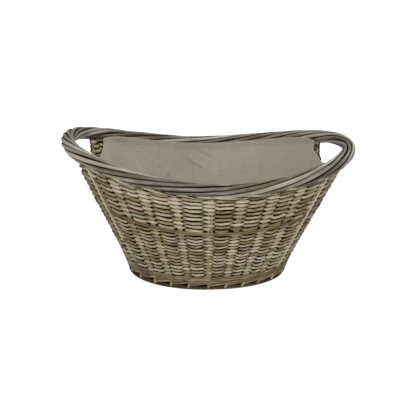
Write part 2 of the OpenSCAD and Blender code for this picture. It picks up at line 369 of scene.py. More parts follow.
def willow_skin_group():
    """Peeled willow: streaks along the rod, patches and specks, and painted shade on the faces that Proud
    marks low.
    """
    tree, n, start, end = new_group(
        "willow_skin",
        [("Along", "NodeSocketVector", None),
         ("Tone", "NodeSocketFloat", 0.0),
         ("Proud", "NodeSocketFloat", 0.5),
         ("Dark", "NodeSocketColor", (0.1, 0.07, 0.04, 1)),
         ("Middle", "NodeSocketColor", (0.2, 0.16, 0.1, 1)),
         ("Light", "NodeSocketColor", (0.4, 0.33, 0.24, 1)),
         ("Warm", "NodeSocketColor", (0.3, 0.2, 0.08, 1)),
         ("Lift", "NodeSocketFloat", 0.0)],
        [("Color", "NodeSocketColor"), ("Roughness", "NodeSocketFloat"), ("Height", "NodeSocketFloat")])
    along, proud = start.outputs["Along"], start.outputs["Proud"]
    streaks = n.grain(along, (38.0, 5.0, 1.0), 5.0, 0.65)
    patches = n.grain(along, (9.0, 0.6, 1.0))
    tints = n.grain(along, (5.0, 0.2, 1.0), 2.0, scale=1.3)
    fine = n.grain(along, (420.0, 40.0, 1.0), 4.0, 0.7)
    specks = n.grain(along, (160.0, 9.0, 1.0), 2.0)
    value = n.maths("ADD", n.maths("MULTIPLY", streaks, 0.75), n.maths("MULTIPLY", patches, 0.85))
    value = n.maths("ADD", value, n.maths("MULTIPLY", start.outputs["Tone"], 0.30))
    # Proud shifts the colour itself: painted shade on low faces, painted light on proud ones.
    value = n.maths("ADD", value, n.maths("MULTIPLY", n.maths("SUBTRACT", proud, 0.5), 0.45))
    value = n.maths("ADD", value, start.outputs["Lift"])
    colour = n.mix(n.spread(value, 0.35, 0.85), start.outputs["Dark"], start.outputs["Middle"])
    colour = n.mix(n.spread(value, 0.80, 1.25), colour, start.outputs["Light"])
    colour = n.mix(n.spread(tints, 0.52, 0.72, 0.0, 0.55), colour, start.outputs["Warm"])
    colour = n.mix(n.spread(specks, 0.66, 0.78, 0.0, 0.6), colour, start.outputs["Dark"])
    # Painted shade: the colour is darkened where Proud is low, in the lows between rods and on their inner
    # faces.
    shade = n.spread(proud, 0.12, 0.62, 0.10, 1.0)
    fleck_and_shade = n.maths("MULTIPLY", n.spread(fine, 0.3, 0.7, 0.86, 1.12), shade)
    fleck_and_shade = n.add("ShaderNodeCombineColor", {0: fleck_and_shade, 1: fleck_and_shade, 2: fleck_and_shade}).outputs[0]
    height = n.maths("ADD", n.maths("MULTIPLY", fine, 0.35), n.maths("MULTIPLY", streaks, 0.65))
    n.join(end, {"Color": n.mix(1.0, colour, fleck_and_shade, "MULTIPLY"),
                 "Roughness": n.spread(streaks, 0.3, 0.7, 0.42, 0.62),
                 "Height": height})
    return tree


WILLOW_SKIN = willow_skin_group()


def rgb(r, g, b):
    """A colour from display values of 0 to 255."""
    def linear(v):
        v = v / 255
        return v / 12.92 if v <= 0.04045 else ((v + 0.055) / 1.055) ** 2.4
    return (linear(r), linear(g), linear(b), 1.0)


def principled(name):
    """A new material and its nodes, with the principled shader already in place."""
    material = bpy.data.materials.new(name)
    material.use_nodes = True
    return material, Nodes(material.node_tree), material.node_tree.nodes["Principled BSDF"]


SKIN_RELIEF = 0.4 * MM  # how deep the grain of a rod looks


def skinned(name, dark, middle, light, warm, relief_strength):
    """A willow material in its own four colours; returns it, its nodes, its shader and its skin."""
    material, n, shader = principled(name)
    skin = n.add("ShaderNodeGroup", node_tree=WILLOW_SKIN)
    for label, colour in (("Dark", dark), ("Middle", middle), ("Light", light), ("Warm", warm)):
        skin.inputs[label].default_value = colour
    relief = n.add("ShaderNodeBump", {"Strength": relief_strength, "Distance": SKIN_RELIEF,
                                      "Height": skin.outputs["Height"]})
    n.join(shader, {"Base Color": skin.outputs["Color"], "Roughness": skin.outputs["Roughness"],
                    "Normal": relief.outputs[0]})
    return material, n, shader, skin


def willow(name, dark, middle, light, warm, lift=0.0, gloss=0.0):
    """Willow for rods that carry a lengthwise map, with a waxed gloss on the faces that stand proud."""
    material, n, shader, skin = skinned(name, dark, middle, light, warm, 0.35)
    skin.inputs["Lift"].default_value = lift
    # proud carries the painted shade into the skin, and keeps the gloss off the shaded faces.
    proud = n.add("ShaderNodeAttribute", attribute_name="proud").outputs["Fac"]
    n.join(skin, {"Along": n.add("ShaderNodeUVMap", uv_map="along").outputs[0],
                  "Tone": n.add("ShaderNodeAttribute", attribute_name="tone").outputs["Fac"],
                  "Proud": proud})
    open_face = n.spread(proud, 0.3, 0.65)
    n.join(shader, {"Specular IOR Level": n.maths("MULTIPLY", open_face, 0.45),
                    "Coat Weight": n.maths("MULTIPLY", open_face, gloss)})
    shader.inputs["Coat Roughness"].default_value = 0.3
    return material


def plain_willow(name, dark, middle, light):
    """Willow for the frame's own sticks, mapped by their place because they carry no lengthwise map."""
    material, n, _, skin = skinned(name, dark, middle, light, middle, 0.3)
    n.join(skin, {"Along": n.add("ShaderNodeTexCoord").outputs["Object"]})
    return material


WEAVE = willow("washed_willow", rgb(82, 62, 32), rgb(140, 120, 79), rgb(204, 191, 166), rgb(156, 124, 56),
               gloss=0.3)
STAKE = willow("pale_stake_willow", rgb(112, 92, 64), rgb(166, 150, 120), rgb(206, 196, 172),
               rgb(156, 130, 86), lift=0.05, gloss=0.2)
BORDER = willow("weathered_border_willow", rgb(54, 45, 31), rgb(112, 102, 82), rgb(196, 187, 168),
                rgb(116, 94, 60), lift=0.06, gloss=0.8)
# Painted shade: near-black willow for the border's core and the dark sheets, standing for the shade between
# rods.
SHADE_WILLOW = willow("painted_shade_willow", rgb(16, 13, 9), rgb(27, 23, 17), rgb(36, 31, 23), rgb(24, 20, 14))
BASE_STICK = plain_willow("base_stick_willow", rgb(84, 66, 42), rgb(136, 118, 88), rgb(176, 162, 134))


THREADS_PER_METRE = 900.0


def cloth_material():
    """Plain-woven cloth: warp and weft threads with slubs, faint stains and a dull sheen."""
    material, n, shader = principled("liner_linen")
    place_on = n.add("ShaderNodeUVMap", uv_map="cloth").outputs[0]
    split = n.add("ShaderNodeSeparateXYZ", {0: place_on})

    def threads(socket):
        wave = n.maths("SINE", n.maths("MULTIPLY", socket, THREADS_PER_METRE * TURN / 2))
        return n.maths("ABSOLUTE", wave)

    weave = n.maths("MULTIPLY", threads(split.outputs[0]), threads(split.outputs[1]))
    slub_across = n.grain(place_on, (14.0, 700.0, 1.0), 2.0)
    slub_down = n.grain(place_on, (700.0, 14.0, 1.0), 2.0)
    stains = n.noise(place_on, 7.0, 4.0)
    value = n.maths("ADD", n.maths("MULTIPLY", weave, 0.18),
                    n.maths("MULTIPLY", n.maths("ADD", slub_across, slub_down), 0.35))
    value = n.maths("ADD", value, n.maths("MULTIPLY", stains, 0.35))
    height = n.maths("ADD", n.maths("MULTIPLY", weave, 0.6), n.maths("MULTIPLY", slub_across, 0.4))
    relief = n.add("ShaderNodeBump", {"Strength": 0.5, "Distance": 0.3 * MM, "Height": height})
    n.join(shader, {"Base Color": n.mix(n.spread(value, 0.30, 0.85), rgb(154, 145, 130), rgb(196, 188, 173)),
                    "Normal": relief.outputs[0]})
    shader.inputs["Roughness"].default_value = 0.92
    shader.inputs["Sheen Weight"].default_value = 0.15
    shader.inputs["Specular IOR Level"].default_value = 0.2
    return material


CLOTH = cloth_material()


# ---------------------------------------------------------------- uprights
ROD_HALF = 1.9 * MM  # half-thickness of a weaving rod, across the wall
STAKE_ROD_HALF = 2.9 * MM  # a stake is two rods of this half-thickness side by side
BYE_HALF = 1.9 * MM
PAIR_SPACING = 0.66  # how far each rod of a stake lies from its middle, in half-thicknesses
RADIUS_OF_WALL = 0.2  # in metres, near enough to turn a step along the wall into an angle
UPRIGHT_POINTS = 26
UPRIGHT_SHORT = 0.004  # how much lower an upright ends, as a share of the wall


def beside(t, half_width):
    """True where the wall is inside a band of this half-width at either end."""
    p = wall_point(t, 1.0, 0.0)
    return (np.abs(p[..., 1]) < half_width) & (np.abs(p[..., 0]) > foot_a)


def upright_top(t, inset=0.0):
    """Where an upright stops: under the border, or at the lower edge of a handle hole, less an inset."""
    y = np.abs(wall_point(t, 1.0, 0.0)[..., 1]) - inset
    share = np.clip((y - HOLE_LOW_HALF_WIDTH) / (HOLE_HALF_WIDTH - HOLE_LOW_HALF_WIDTH), 0, 1)
    up = share ** (1 / HOLE_ROUNDING)
    return np.where(beside(t, HOLE_HALF_WIDTH + inset), 1 - 2 * upper_step * (1 - up), 1.0)


def tuck(t, k):
    """The end of an upright: bent to the left under the border and tucked between its rods."""
    lean = STAKE_GAP * (0.75 + 0.12 * wander(k * 0.37, 91))
    s = np.linspace(0, 1, 12)[1:]
    reach = BORDER_THICK / 2 - 0.2 * MM - 1.6 * MM * s
    return around_border(border_frame(t - lean * s ** 1.5), np.radians(-118 + 78 * s), reach)[1]


def upright_path(t, k, across=0.0):
    """From the foot up the wall; a full-height upright bends over under the border."""
    top = float(upright_top(np.array(t)))
    step = np.linspace(0, 1, UPRIGHT_POINTS)
    place_at = t + across / RADIUS_OF_WALL
    wall = wall_point(place_at, step * (top - UPRIGHT_SHORT), 0.25 * MM * wander(step + k, 17 + k))
    if top < 1:
        return wall
    return np.concatenate([wall[:-1], tuck(place_at, k)])


# Stakes with an extra peeled stick pushed in outside the weaving, and where up the wall it starts
OUTER_STICKS = {5: 0.12, 23: 0.34}


def make_uprights():
    """Each stake is a pair of rods; all the bye-stakes are one piece."""
    for number in range(1, STAKES + 1):
        k = 2 * (number - 1)
        t = ANGLES[k]
        bundle = Bundle()
        for hand in (-1, 1):
            path = upright_path(t, k, hand * STAKE_ROD_HALF * PAIR_SPACING)
            thick = STAKE_ROD_HALF * (1 - 0.22 * np.linspace(0, 1, len(path)))
            # The stakes' tone is raised by 0.3: partly their own paler willow, partly painted highlight for
            # the light bands at the stakes.
            bundle.rod(path, thick, flat_side(t), tone=0.3 + 0.5 * wander(k * 0.61 + hand, 5),
                       aside=1.2 * MM)
        if number in OUTER_STICKS:
            step = np.linspace(OUTER_STICKS[number], 1.02, 24)
            path = wall_point(t, step, 6.6 * MM + 0.4 * MM * wander(step, 15))
            bundle.rod(path, 1.8 * MM, flat_side(t), tone=1.3, proud=0.8)
        bundle.make(f"stake_{number}_rods", STAKE, "willow_stake", f"stake_{number}")
    byes = Bundle()
    for k in range(1, UPRIGHTS, 2):
        path = upright_path(ANGLES[k], k)
        byes.rod(path, BYE_HALF * (1 - 0.2 * np.linspace(0, 1, len(path))), flat_side(ANGLES[k]),
                 tone=0.5 * wander(k * 0.53, 6) - 0.4, aside=0.0)
    byes.make("bye_stake_rods", WEAVE, "willow_weave", "bye_stakes")


# ---------------------------------------------------------------- weaving
STEPS = 8  # points of a weaving rod between two uprights
MAIN_REST = STAKE_ROD_HALF + ROD_HALF * 0.9
BYE_REST = BYE_HALF + ROD_HALF * 0.85
MAIN_FROM = MAIN_REST * 0.84  # a rod that swings further out than this is passing a stake
HOLD_AT_MAIN, HOLD_AT_BYE = 0.21, 0.42  # the share of a gap that a rod keeps its swing beside an upright
DIP_LOW, DIP_HIGH = 3.2 * MM, 1.5 * MM  # how far the rods dip at the bye-stakes, in each siding
HOLE_SPARE = {"left": 15 * MM, "right": -1 * MM}  # how far the runs stop short of a handle hole's edge
FULL_ROUND, FULL_RUN = 1.28, 1.36  # a rod's height against its row: all the way round, and between holes
END_THINNING = 0.34  # how much of that a round loses at the two ends of the basket
END_SHADE = 0.5  # how much darker the rods are at the two ends
TOP_ROUND = 1.014  # the upper siding ends just past the border's underside


def swing_path(sides_out, closed):
    """How far out a rod is between its uprights: held beside each upright, then crossing smoothly."""
    n = len(sides_out)
    held = [HOLD_AT_MAIN if abs(s) > MAIN_FROM else HOLD_AT_BYE for s in sides_out]
    f = np.arange(STEPS) / STEPS
    out = []
    for i in range(n if closed else n - 1):
        nxt = (i + 1) % n
        w = np.clip((f - held[i]) / (1 - held[i] - held[nxt]), 0, 1)
        out.append(sides_out[i] + (sides_out[nxt] - sides_out[i]) * (w * w * (3 - 2 * w)))
    if not closed:
        out.append(np.array([sides_out[-1]]))
    return np.concatenate(out)


def angle_run(first, last, closed):
    """Angles along a rod from upright first to last, STEPS to a gap, rising all the way."""
    gaps = last - first + (1 if closed else 0)
    t = np.unwrap([ANGLES[k % UPRIGHTS] for k in range(first, first + gaps + 1)])
    fine = np.arange(gaps * STEPS + (0 if closed else 1)) / STEPS
    return np.interp(fine, np.arange(gaps + 1), t)


def carry_on(end, values, more):
    """Adds more values past one end of a run (0 or -1); they are given in order away from it."""
    return np.concatenate([more[::-1], values] if end == 0 else [values, more])


def reach_hole(t, aside, place_on, half_width):
    """Carries both ends of a run on past its last upright to the edge of a handle hole."""
    looks = 60
    for end, way in ((0, -1), (-1, 1)):
        ahead = t[end] + way * np.linspace(0, STAKE_GAP, looks)
        spare = HOLE_SPARE["left" if np.cos(t[end]) < 0 else "right"]
        inside = np.abs(wall_point(ahead, 1.0, 0.0)[:, 1]) < half_width + spare
        stop = max(int(np.argmax(inside)) - 1, 1)
        f = np.linspace(0, stop / (looks - 1), 6)[1:]
        t = carry_on(end, t, t[end] + way * f * STAKE_GAP)
        place_on = carry_on(end, place_on, place_on[end] + way * f * 2)
        aside = carry_on(end, aside, aside[end] * (1 - 0.3 * f / f[-1]))
    return t, aside, place_on


def weave_rod(bundle, row, low, high, first, last, half_width, seed):
    """One round of randing, or one run of it between the handle holes when half_width is not 0."""
    closed = not half_width
    ks = np.arange(first, last + 1)
    rng = np.random.default_rng(seed)
    front = np.where((ks + row) % 2 == 0, 1.0, -1.0)
    rest = np.where(ks % 2 == 0, MAIN_REST, BYE_REST)
    give = rest * np.clip(1 + 0.06 * rng.standard_normal(len(ks)), 0.87, 1.13)
    aside = swing_path(front * give, closed)
    t = angle_run(first, last, closed)
    place_on = np.arange(len(t)) / STEPS + first
    if not closed:
        t, aside, place_on = reach_hole(t, aside, place_on, half_width)
    x = np.arange(len(t)) / len(t)
    lift = 0.6 * MM * wander(x * 19, seed + 1) + 0.25 * MM * rng.standard_normal(1)
    from_main = np.abs((place_on + 1) % 2 - 1)
    sag = DIP_LOW if row < LOWER_RODS else DIP_HIGH
    dip = sag * (0.5 - np.clip(from_main * 1.15 - 0.15, 0, 1))
    path = wall_point(t, (low + high) / 2 + (lift + dip) / wall_rise(t), aside)
    pitch = (high - low) * wall_rise(t)
    lengths = rng.integers(3, 5)
    butt = (x * lengths + rng.random()) % 1.0
    at_main = np.exp(-(from_main / 0.24) ** 2)
    at_end = np.abs(np.cos(t)) ** 3
    full = FULL_ROUND - END_THINNING * at_end if closed else FULL_RUN
    thick = 0.5 * pitch * (full - 0.20 * butt + 0.20 * at_main) * (1 + 0.07 * wander(x * 23, seed + 2))
    flat = np.clip(ROD_HALF / thick, 0.5, 1.15)
    which_length = np.floor(x * lengths + rng.random())
    tone = wander(which_length * 1.37 + seed * 0.11, seed + 3) + 0.45 * wander(x * 9, seed + 4)
    # Painted highlight: rods are painted lighter where they pass a stake, for the light bands there; painted
    # shade darkens them at the two ends.
    tone = tone + 0.35 * at_main - END_SHADE * at_end
    side = flat_side(t)
    if not closed:
        path, thick, side, tone, flat, aside = turn_back(path, thick, side, tone, flat, aside)
    bundle.rod(path, thick, side, closed=closed, tone=tone, flat=flat, aside=aside)


def turn_back(path, thick, side, tone, flat, aside):
    """Wraps both ends of a run round its last upright, so that the side of the hole is closed."""
    swing = np.linspace(0, np.pi, 7)[1:]
    for end, inner in ((0, 1), (-1, -2)):
        run = unit(path[end] - path[inner])
        reach = aside[end]
        more = (path[end] + side[end] * (reach * (np.cos(swing) - 1))[:, None]
                + run * (abs(reach) * 0.9 * np.sin(swing))[:, None])
        path = carry_on(end, path, more)
        aside = carry_on(end, aside, reach * np.cos(swing))
        thick, side, tone, flat = (carry_on(end, v, np.repeat(v[[end]], len(swing), 0))
                                   for v in (thick, side, tone, flat))
    return path, thick, side, tone, flat, aside


def hole_half_width(share):
    """Half-width of a handle hole at a share of the wall, or 0 below it."""
    if share <= HOLE_BOTTOM:
        return 0.0
    up = min((share - HOLE_BOTTOM) / (2 * upper_step), 1) ** HOLE_ROUNDING
    return HOLE_LOW_HALF_WIDTH + (HOLE_HALF_WIDTH - HOLE_LOW_HALF_WIDTH) * up


def hole_runs(half_width):
    """Runs of uprights between the two handle holes, as pairs of first and last."""
    inside = beside(ANGLES, half_width)
    starts = [k + 1 for k in range(UPRIGHTS) if inside[k] and not inside[(k + 1) % UPRIGHTS]]
    stops = [k for k in range(2 * UPRIGHTS) if not inside[k % UPRIGHTS] and inside[(k + 1) % UPRIGHTS]]
    return [(a, min(b for b in stops if b > a)) for a in starts]


def taper(share):
    """Rounds sit closer together towards the top of each siding."""
    return share * (1.06 - 0.06 * share)


def make_courses():
    """Even rounds of single rods, shared out among the frame's courses by their height."""
    row = 0
    for zone, courses, rods, low, high in (("lower", LOWER_COURSES, LOWER_RODS, upset_to, WALE_PLACE),
                                           ("upper", UPPER_COURSES, UPPER_RODS, wale_to, TOP_ROUND)):
        bundles = [Bundle() for _ in range(courses)]
        for j in range(rods):
            start, stop = (low + (high - low) * taper((j + step) / rods) for step in (0, 1))
            half_width = hole_half_width((start + stop) / 2)
            for first, last in hole_runs(half_width) if half_width else [(0, UPRIGHTS - 1)]:
                weave_rod(bundles[j * courses // rods], row, start, stop, first, last, half_width,
                          100 + row * 7 + first)
            row += 1
        for i, bundle in enumerate(bundles):
            node = f"{zone}_course_{i + 1}"
            bundle.make(f"{node}_rods", WEAVE, "willow_weave", node)


def loop_mesh(name, grid):
    """A mesh over a grid of points whose first way goes right round; also each face's place in it."""
    around, rows = grid.shape[:2]
    i, j = (v.ravel() for v in np.meshgrid(np.arange(around), np.arange(rows - 1), indexing="ij"))
    nxt = (i + 1) % around
    faces = np.stack([i * rows + j, i * rows + j + 1, nxt * rows + j + 1, nxt * rows + j], 1)
    mesh = bpy.data.meshes.new(name)
    mesh.from_pydata(grid.reshape(-1, 3).tolist(), [], faces.tolist())
    mesh.shade_smooth()
    return mesh, i, j


def round_grid(around, shares):
    """Angles right round the basket against shares of its height."""
    return np.meshgrid(np.linspace(0, TURN, around, endpoint=False), shares, indexing="ij")


SHADOW_SHEET_FOOT = 3 * MM  # height of the painted-shade sheet's lower edge
SHADOW_SHEET_INSET = {"left": 19 * MM, "right": 8 * MM}  # how far it stays back from a handle hole
SHADOW_SHEET_SHORT = 0.012  # how much lower than the uprights it ends, as a share of the wall
SHADOW_SHEET_AROUND, SHADOW_SHEET_ROWS = 416, 5


def make_shadow_sheet():
    """Painted shade for the inner faces of the rounds, which lie in shadow: a thin dark shell at the middle
    of the wall.
    """
    tt, ss = round_grid(SHADOW_SHEET_AROUND, np.linspace(0, 1, SHADOW_SHEET_ROWS))
    lowest = (SHADOW_SHEET_FOOT - wall_start) / wall_rise(tt)
    inset = np.where(np.cos(tt) < 0, SHADOW_SHEET_INSET["left"], SHADOW_SHEET_INSET["right"])
    share = lowest + (upright_top(tt, inset) - SHADOW_SHEET_SHORT - lowest) * ss
    mesh = loop_mesh("weave_shadow_sheet", wall_point(tt, share, 0.0))[0]
    thicken(place("weave_shadow_sheet", mesh, SHADE_WILLOW, "willow_weave"), 0.8 * MM)


# ---------------------------------------------------------------- wales
def wale_rods(bundle, low, high, rounds, seed, tone, fill):
    """Three-rod waling: each rod passes outside two uprights and inside the third."""
    ks = np.arange(UPRIGHTS)
    rest = np.where(ks % 2 == 0, STAKE_ROD_HALF + ROD_HALF, BYE_HALF + ROD_HALF)
    t = angle_run(0, UPRIGHTS - 1, True)
    x = np.arange(len(t)) / len(t)
    thick = np.clip((high - low) * wall_rise(t) / rounds * fill, 1.5 * MM, 2.9 * MM)
    for r in range(rounds):
        for phase in range(3):
            aside = swing_path(np.where((ks + phase) % 3 == 0, -1.0, 1.0) * rest, True)
            beat = (np.arange(len(t)) / STEPS + phase) % 3 / 3
            climb = (beat - 0.5) * 0.55
            share = low + (high - low) * ((r + 0.5 + climb * 0.8) / rounds)
            share = share + 0.25 * MM * wander(x * 7, seed + phase) / wall_rise(t)
            # aside is scaled down for the shading only, so the wale's faces take more painted shade than the
            # sidings'.
            bundle.rod(wall_point(t, share, aside + 0.5 * MM), thick, flat_side(t), closed=True,
                       tone=0.8 * wander(x * 4 + r, seed + 7 * phase) + tone, aside=aside * 0.8)


def make_wales():
    """The upset wale above the foot and the middle wale, each darker than the sidings."""
    for name, low, high, rounds, seed, tone, fill in (
            ("upset_wale", upset_from, upset_to, 3, 700, -0.8, 0.39),
            ("middle_wale", WALE_PLACE, wale_to, 2, 800, -1.1, 0.36)):
        bundle = Bundle()
        wale_rods(bundle, low, high, rounds, seed, tone, fill)
        bundle.make(f"{name}_rods", WEAVE, "willow_weave", name)


# ---------------------------------------------------------------- foot and base
def at_height(t, z, aside):
    """A point beside the wall at height z, aside being outward."""
    return wall_point(t, (z - wall_start) / wall_rise(t), aside)


FOOT_RINGS = ((2.1, 5.6, 2.0), (2.6, 0.4, 2.3), (2.6, -5.2, 2.4))  # height, place outward, half-thickness
FOOT_PAIR = ((0.0, 0.1), (4.3, -0.9))  # how much higher each slanting rod of a pair lies, and its tone
BAR_PLACE = (-0.05, -0.03, 0.0, 0.02, 0.03)  # along the gap between stakes, from the bar's foot up
BAR_RISE = (2.6, 5.0, 8.0, 11.5, 15.5)
BAR_OUT = (6.4, 7.0, 6.8, 5.4, 2.0)


def make_foot():
    """The foot border: edge rings, stake ends as bars, and rods that rise past them, with painted shade in
    their grooves and over wedges where the dark painted-shade sheet shows.
    """
    bundle = Bundle()
    t = np.linspace(0, TURN, 260, endpoint=False)
    for z, aside, half in FOOT_RINGS:
        ring = level_ring(foot_a, foot_b, t, (z + 0.1 * wander_round(t / TURN, 44)) * MM)
        bundle.rod(ring + flat_side(t) * aside * MM, half * MM * (1 + 0.05 * wander_round(t / TURN, 41)),
                   flat_side(t), closed=True, tone=0.6 * wander_round(t / TURN, 43) - 0.7, proud=0.45,
                   groove_shade=0.2)
    s = np.linspace(0, 1, 24)
    for i in range(STAKES):
        start = ANGLES[2 * i]
        for above, tone in FOOT_PAIR:
            tt = start + STAKE_GAP * (-0.06 + 2.2 * s)
            rise = (5.2 + above + 16.6 * s ** 0.56) * MM
            sink = 5.0 * np.clip((s - 0.8) / 0.2, 0, 1) + 4.0 * np.clip((0.06 - s) / 0.06, 0, 1)
            aside = 4.4 + 2.0 * np.sin(np.pi * np.clip(s * 1.7, 0, 1)) - sink - above * 0.12
            bundle.rod(at_height(tt, rise, aside * MM), 2.2 * MM * (1.08 - 0.25 * s), flat_side(tt),
                       tone=0.7 * wander(i * 0.41 + above, 47) + tone, proud=0.62, groove_shade=0.5)
        tt = start + np.array(BAR_PLACE) * STAKE_GAP
        bar = at_height(tt, np.array(BAR_RISE) * MM, np.array(BAR_OUT) * MM)
        bundle.rod(bar, 2.7 * MM, flat_side(tt),
                   tone=0.6 * wander(i * 0.7, 49) + 0.3, proud=0.7, groove_shade=0.4)
    bundle.make("foot_border_rods", WEAVE, "willow_weave", "foot_border")


BASE_ROUNDS = 24
BASE_ROD_HALF = 2.4 * MM
BASE_HEART = 8 * MM  # half the width of the base's middle, where the weaving starts


def make_base():
    """Rounds of paired weaving from the middle of the base out; its sticks keep the frame's shapes."""
    bundle = Bundle()
    middle = (base_low.z + base_high.z) / 2
    base_a, base_b = base_high.x - BASE_ROD_HALF, base_high.y - BASE_ROD_HALF
    heart = base_a - base_b + BASE_HEART
    t = np.linspace(0, TURN, 208, endpoint=False)
    for r in range(BASE_ROUNDS):
        share = (r + 0.5) / BASE_ROUNDS
        a, b = heart + (base_a - heart) * share, BASE_HEART + (base_b - BASE_HEART) * share
        beat = np.cos(STAKES / 2 * t + np.pi * r)
        # Painted shade: the outer two rounds, beside the foot, are darker in tone and in proud, and each
        # round is darker where it rises.
        edge = 1.0 if r >= BASE_ROUNDS - 2 else 0.0
        bundle.rod(level_ring(a, b, t, middle + 2.6 * MM * beat), BASE_ROD_HALF, flat_side(t), closed=True,
                   tone=0.8 * wander_round(t / TURN, 60 + r) - edge, proud=0.45 - 0.3 * beat - 0.5 * edge)
    bundle.make("base_weave_rods", WEAVE, "willow_weave", "base_weave")
    make_base_shadow_plate(base_a - 4 * MM, base_b - 4 * MM, middle)
    for node in ("base_cross_sticks", "base_long_sticks"):
        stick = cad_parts[node]
        stick.data.materials.clear()
        stick.data.materials.append(BASE_STICK)


def make_base_shadow_plate(a, b, middle):
    """Painted shade: a thin dark plate inside the base, for the shaded rods between its rounds."""
    n = 90  # lines round its edge
    t = np.linspace(0, TURN, n, endpoint=False)
    edges = [level_ring(a, b, t, np.full(n, middle + z)) for z in (-0.5 * MM, 0.5 * MM)]
    sides = [(k, (k + 1) % n, (k + 1) % n + n, k + n) for k in range(n)]
    plate = bpy.data.meshes.new("base_shadow_plate")
    plate.from_pydata(np.concatenate(edges).tolist(), [],
                      sides + [tuple(range(n - 1, -1, -1)), tuple(range(n, 2 * n))])
    place("base_shadow_plate", plate, SHADE_WILLOW, "willow_weave")


# ---------------------------------------------------------------- rope border
BORDER_RODS, BORDER_TURNS = 8, 3
BORDER_ROD_HALF = 3.85 * MM
BORDER_AROUND = 480  # lines of the border's meshes


def make_border():
    """Eight thick rods laid as a rope round a core, with painted shade in the grooves between them and on
    the core's dark colour.
    """
    t = np.linspace(0, TURN, BORDER_AROUND, endpoint=False)
    frame_at = border_frame(t)
    x = t / TURN
    core = Bundle()
    core.rod(frame_at[0], BORDER_CORE_RADIUS, frame_at[1], closed=True, sides=10)
    core.make("border_core_hoop", SHADE_WILLOW, "willow_border", "border_core")
    for i in range(BORDER_RODS):
        lie = i % 3 - 1  # neighbouring rods differ in thickness and tone
        w = i * TURN / BORDER_RODS + BORDER_TURNS * t + 0.10 * wander_round(x, 300 + i)
        reach = BORDER_THICK / 2 - BORDER_ROD_HALF + 0.4 * MM * (wander_round(x, 320 + i) - 1)
        out, path = around_border(frame_at, w, reach)
        bundle = Bundle()
        bundle.rod(path, BORDER_ROD_HALF * (1 + 0.07 * wander_round(x, 340 + i) + 0.05 * lie), out,
                   closed=True, tone=1.1 * wander_round(x, 360 + i) + 0.45 * lie, proud=0.76, sides=16,
                   groove_shade=0.86)
        bundle.make(f"border_rod_{i + 1}_willow", BORDER, "willow_border", f"border_rod_{i + 1}")


# ---------------------------------------------------------------- liner
LINER_SETBACK = {"left": 39 * MM, "right": 4 * MM}  # how far the cloth is cut back beside each handle hole
LINER_OUT = 7.6 * MM  # how far the cloth stands inside the middle of the wall
LINER_FLOOR = 2.2 * MM  # how far the cloth stands above the base
CLOTH_THICK = 1.0 * MM
HEM_THICK = 0.25 * MM
DEEPEST_FOLD = 12 * MM
LINER_AROUND = 900  # lines of the liner's mesh
LINER_ROWS, HEM_ROWS = 72, 6
HEM_FROM, HEM_TO = 0.966, 1.002  # as shares of the liner's wall
HEM_INSET = 0.3 * MM  # how far the hem stands inside the cloth
LINER_GIRTH, LINER_HEIGHT, HEM_HEIGHT = 1.45, 0.25, 0.015  # mean sizes in metres, which space the threads
CORNER_DROP = 9 * MM  # how far the cloth's edge sags where it turns down beside a hole
UNDER_HOLE_DROP = 24 * MM  # how much deeper it hangs under the middle of a hole

# Place round the wall, height, lean, width, depth and reach of the deepest creases
DEEP_CREASES = ((0.258, 0.80, 0.17, 0.0024, 4.4, 0.08), (0.243, 0.86, 0.20, 0.0024, -3.6, 0.07),
                (0.232, 0.62, 0.05, 0.0045, 2.6, 0.20), (0.300, 0.66, -0.12, 0.0036, 2.8, 0.12))
SLIGHT_CREASES = 64


def cut_depth(t):
    """How far the cloth's edge is cut down below the border's middle line, at and near a handle hole."""
    y = np.abs(wall_point(t, 1.0, 0.0)[..., 1])
    left = np.cos(t) < 0
    edge = HOLE_HALF_WIDTH + np.where(left, LINER_SETBACK["left"], LINER_SETBACK["right"])
    slant = np.where(left, 32 * MM, 11 * MM)
    side = CORNER_DROP + np.where(left, 42 * MM, 22 * MM) * np.clip((edge - y) / slant, 0, 1) ** 0.5
    sweep = np.clip((edge - slant - y) / np.where(left, 40 * MM, 75 * MM), 0, 1)
    below = UNDER_HOLE_DROP * np.sin(sweep * np.pi / 2)
    droop = CORNER_DROP * np.clip(1 - (y - edge) / (48 * MM), 0, 1) ** 2
    cut = np.where(y < edge, side + below, droop)
    return np.where(np.abs(np.cos(t)) < 0.4, 0.0, cut) + 1.6 * MM


def cloth_point(t, s, inset):
    """The liner's wall: s is 0 at its foot and 1 at its top edge."""
    low = (base_high.z + LINER_FLOOR - wall_start) / wall_height
    tall = border_z(t) + 1.0 * MM
    start = wall_point(t, low, -(LINER_OUT + inset))
    full = wall_point(t, 1.0, -(LINER_OUT + inset))
    centre, side, _ = border_frame(t)
    inner = centre - side * (BORDER_THICK / 2 + 1.4 * MM + inset)[..., None]
    z = start[..., 2] + (tall - cut_depth(t) - start[..., 2]) * s
    knee = full[..., 2]
    below = np.clip((z - start[..., 2]) / (knee - start[..., 2]), 0, 1)[..., None]
    above = np.clip((z - knee) / (tall - knee), 0, 1)[..., None]
    plan = start[..., :2] + (full[..., :2] - start[..., :2]) * below
    plan = plan + (inner[..., :2] - full[..., :2]) * above
    return np.concatenate([plan, z[..., None]], -1)


